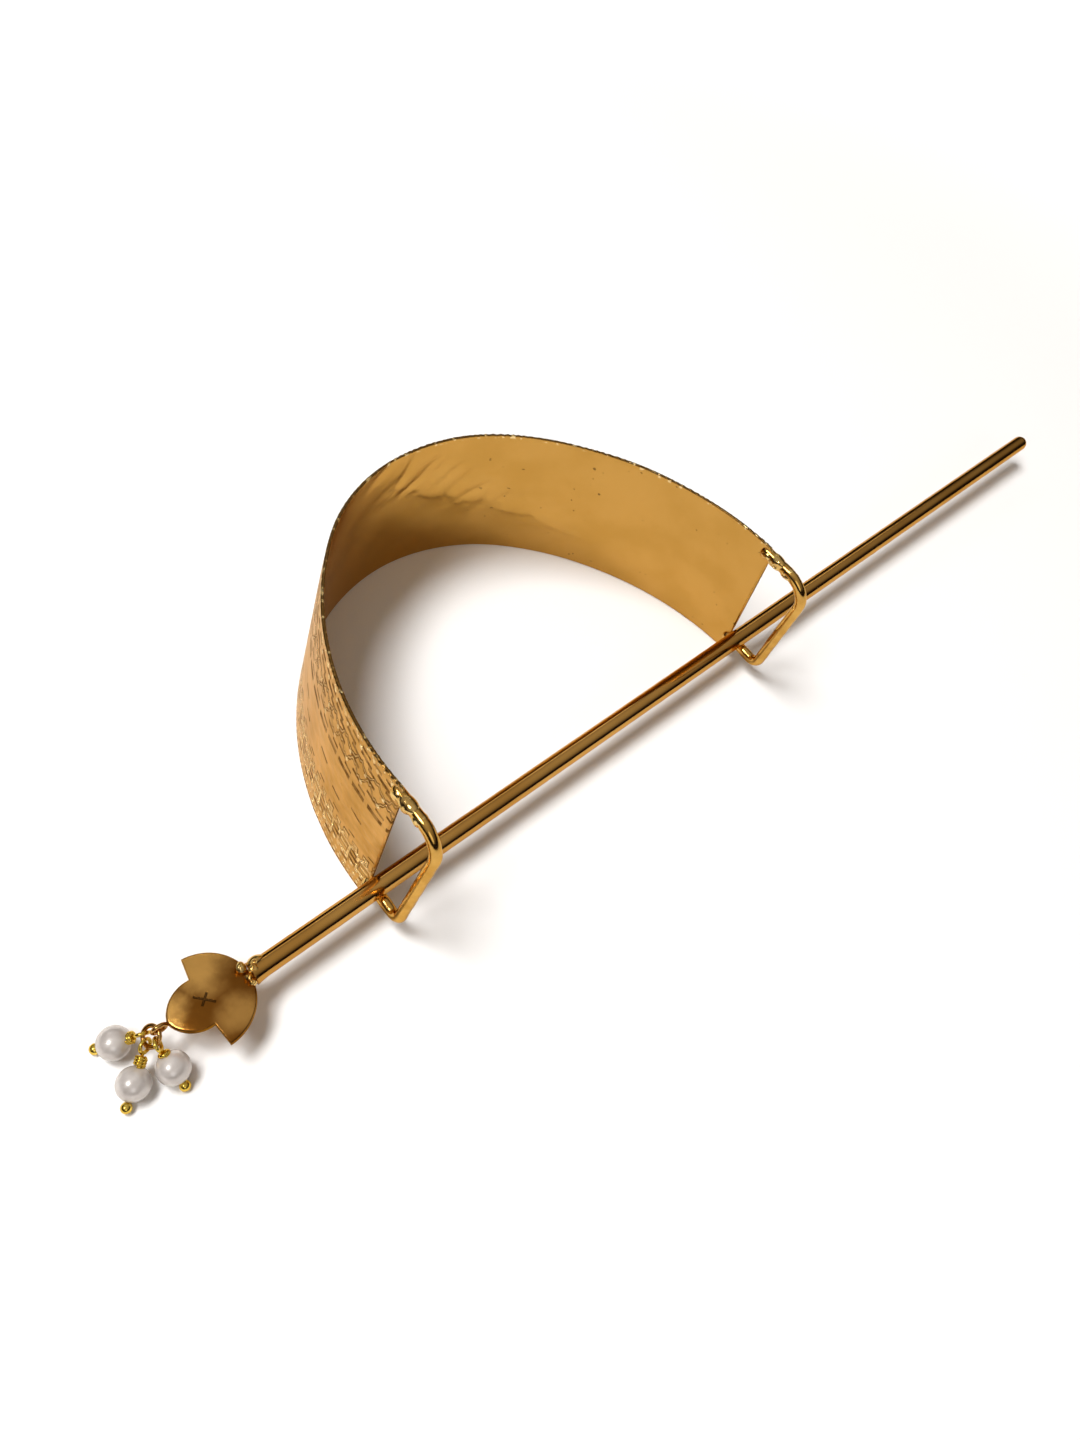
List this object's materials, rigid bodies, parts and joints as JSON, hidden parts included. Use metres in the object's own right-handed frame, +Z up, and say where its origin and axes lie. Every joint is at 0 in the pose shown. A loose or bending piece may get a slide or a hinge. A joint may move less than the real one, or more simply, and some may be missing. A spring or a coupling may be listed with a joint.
{
  "type": "bun pin",
  "caption": "Deep curved metal band that covers a hair bun, with a wire loop at each end and a long stick sliding through the loops, its plated head hung with pearl drops.",
  "frame": {"origin": "foot of the crown, the middle of the band's curve, at half the sheet's thickness, on the surface the band stands on", "axes": "+Z up through the band's height, +X along the stick from its head to its tip, +Y out of the crown of the curve"},
  "size_m": [0.2134, 0.0592, 0.03],
  "materials": {
    "cuff_brass": "chased and stamped brass sheet with polished wire loops",
    "stick_brass": "polished brass rod and softly brushed plate",
    "wire_brass": "polished wire",
    "pearl": "glossy white pearl"
  },
  "bodies": {
    "cuff": {"cuff": "cuff_brass"},
    "stick": {"stick": "stick_brass", "jump_ring": "wire_brass", "head_pin_1": "wire_brass", "head_pin_2": "wire_brass", "head_pin_3": "wire_brass", "pearl_1": "pearl", "pearl_2": "pearl", "pearl_3": "pearl"}
  },
  "joints": [
    {"name": "stick_slide", "type": "slide", "parent": "cuff", "child": "stick", "axis": [1, 0, 0], "range_m": [-0.174, 0.016]}
  ]
}
